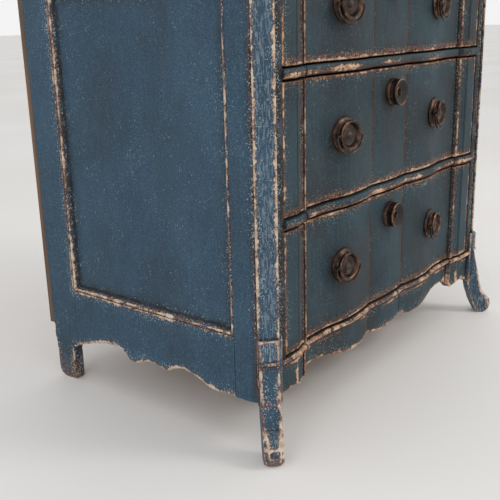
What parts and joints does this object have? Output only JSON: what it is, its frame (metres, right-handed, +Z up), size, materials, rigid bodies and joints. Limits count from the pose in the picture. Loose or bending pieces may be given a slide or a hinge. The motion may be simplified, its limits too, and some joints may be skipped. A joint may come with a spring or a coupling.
{
  "type": "chest of drawers",
  "caption": "Free-standing chest of drawers with a serpentine front, canted corner posts, sabre front legs, scalloped aprons and round cast bail pulls; painted wood worn back at its edges.",
  "frame": {"origin": "on the floor, at the centre of the bounding box in plan", "axes": "+X across the width, drawer fronts facing -Y, +Z up"},
  "size_m": [0.9116, 0.6128, 0.865],
  "materials": {
    "side_paint": "blue-grey paint, rubbed through to cream undercoat and wood at its edges, satin",
    "front_paint": "blue-grey paint with a brown-grey glaze, rubbed through at its edges, satin",
    "bare_wood": "bare softwood, matt",
    "bronze": "dark bronze with copper highlights on its edges",
    "steel": "plain lock steel"
  },
  "bodies": {
    "case": {"top_board": "side_paint", "corner_post_left": "side_paint", "corner_post_right": "side_paint", "rear_post_left": "side_paint", "rear_post_right": "side_paint", "side_top_rail_left": "side_paint", "side_top_rail_right": "side_paint", "side_bottom_rail_left": "side_paint", "side_bottom_rail_right": "side_paint", "side_panel_left": "side_paint", "side_panel_right": "side_paint", "front_leg_left": "side_paint", "front_leg_right": "side_paint", "base_moulding": "front_paint", "front_apron": "front_paint", "drawer_rail_lower": "front_paint", "drawer_rail_upper": "front_paint", "top_rail": "front_paint", "bottom_board": "bare_wood", "runner_lower_left": "bare_wood", "runner_lower_right": "bare_wood", "runner_upper_left": "bare_wood", "runner_upper_right": "bare_wood", "back_panel": "bare_wood"},
    "drawer_lower": {"drawer_lower_front": "front_paint", "drawer_lower_side_left": "bare_wood", "drawer_lower_side_right": "bare_wood", "drawer_lower_back": "bare_wood", "drawer_lower_bottom": "bare_wood", "pull_plate_lower_left": "bronze", "pull_plate_lower_right": "bronze", "escutcheon_lower": "bronze", "lock_case_lower": "steel"},
    "drawer_middle": {"drawer_middle_front": "front_paint", "drawer_middle_side_left": "bare_wood", "drawer_middle_side_right": "bare_wood", "drawer_middle_back": "bare_wood", "drawer_middle_bottom": "bare_wood", "pull_plate_middle_left": "bronze", "pull_plate_middle_right": "bronze", "escutcheon_middle": "bronze", "lock_case_middle": "steel"},
    "drawer_upper": {"drawer_upper_front": "front_paint", "drawer_upper_side_left": "bare_wood", "drawer_upper_side_right": "bare_wood", "drawer_upper_back": "bare_wood", "drawer_upper_bottom": "bare_wood", "pull_plate_upper_left": "bronze", "pull_plate_upper_right": "bronze", "escutcheon_upper": "bronze", "lock_case_upper": "steel"},
    "bail_lower_left": {"bail_lower_left": "bronze"},
    "bail_lower_right": {"bail_lower_right": "bronze"},
    "bail_middle_left": {"bail_middle_left": "bronze"},
    "bail_middle_right": {"bail_middle_right": "bronze"},
    "bail_upper_left": {"bail_upper_left": "bronze"},
    "bail_upper_right": {"bail_upper_right": "bronze"},
    "lock_bolt_lower": {"lock_bolt_lower": "steel"},
    "lock_bolt_middle": {"lock_bolt_middle": "steel"},
    "lock_bolt_upper": {"lock_bolt_upper": "steel"}
  },
  "joints": [
    {"name": "drawer_lower_slide", "type": "slide", "parent": "case", "child": "drawer_lower", "axis": [0, -1, 0], "range_m": [0, 0.36]},
    {"name": "drawer_middle_slide", "type": "slide", "parent": "case", "child": "drawer_middle", "axis": [0, -1, 0], "range_m": [0, 0.36]},
    {"name": "drawer_upper_slide", "type": "slide", "parent": "case", "child": "drawer_upper", "axis": [0, -1, 0], "range_m": [0, 0.36]},
    {"name": "bail_lower_left_swing", "type": "hinge", "parent": "drawer_lower", "child": "bail_lower_left", "pos_m": [-0.18019, -0.27313, 0.277], "axis": [-0.989, 0.1478, 0], "range_deg": [-15, 195]},
    {"name": "bail_lower_right_swing", "type": "hinge", "parent": "drawer_lower", "child": "bail_lower_right", "pos_m": [0.18019, -0.27313, 0.277], "axis": [-0.989, -0.1478, 0], "range_deg": [-15, 195]},
    {"name": "bail_middle_left_swing", "type": "hinge", "parent": "drawer_middle", "child": "bail_middle_left", "pos_m": [-0.18019, -0.27313, 0.51625], "axis": [-0.989, 0.1478, 0], "range_deg": [-15, 195]},
    {"name": "bail_middle_right_swing", "type": "hinge", "parent": "drawer_middle", "child": "bail_middle_right", "pos_m": [0.18019, -0.27313, 0.51625], "axis": [-0.989, -0.1478, 0], "range_deg": [-15, 195]},
    {"name": "bail_upper_left_swing", "type": "hinge", "parent": "drawer_upper", "child": "bail_upper_left", "pos_m": [-0.18019, -0.27313, 0.7355], "axis": [-0.989, 0.1478, 0], "range_deg": [-15, 195]},
    {"name": "bail_upper_right_swing", "type": "hinge", "parent": "drawer_upper", "child": "bail_upper_right", "pos_m": [0.18019, -0.27313, 0.7355], "axis": [-0.989, -0.1478, 0], "range_deg": [-15, 195]},
    {"name": "lock_bolt_lower_slide", "type": "slide", "parent": "drawer_lower", "child": "lock_bolt_lower", "axis": [0, 0, 1], "range_m": [0, 0.011]},
    {"name": "lock_bolt_middle_slide", "type": "slide", "parent": "drawer_middle", "child": "lock_bolt_middle", "axis": [0, 0, 1], "range_m": [0, 0.011]},
    {"name": "lock_bolt_upper_slide", "type": "slide", "parent": "drawer_upper", "child": "lock_bolt_upper", "axis": [0, 0, 1], "range_m": [0, 0.011]}
  ]
}
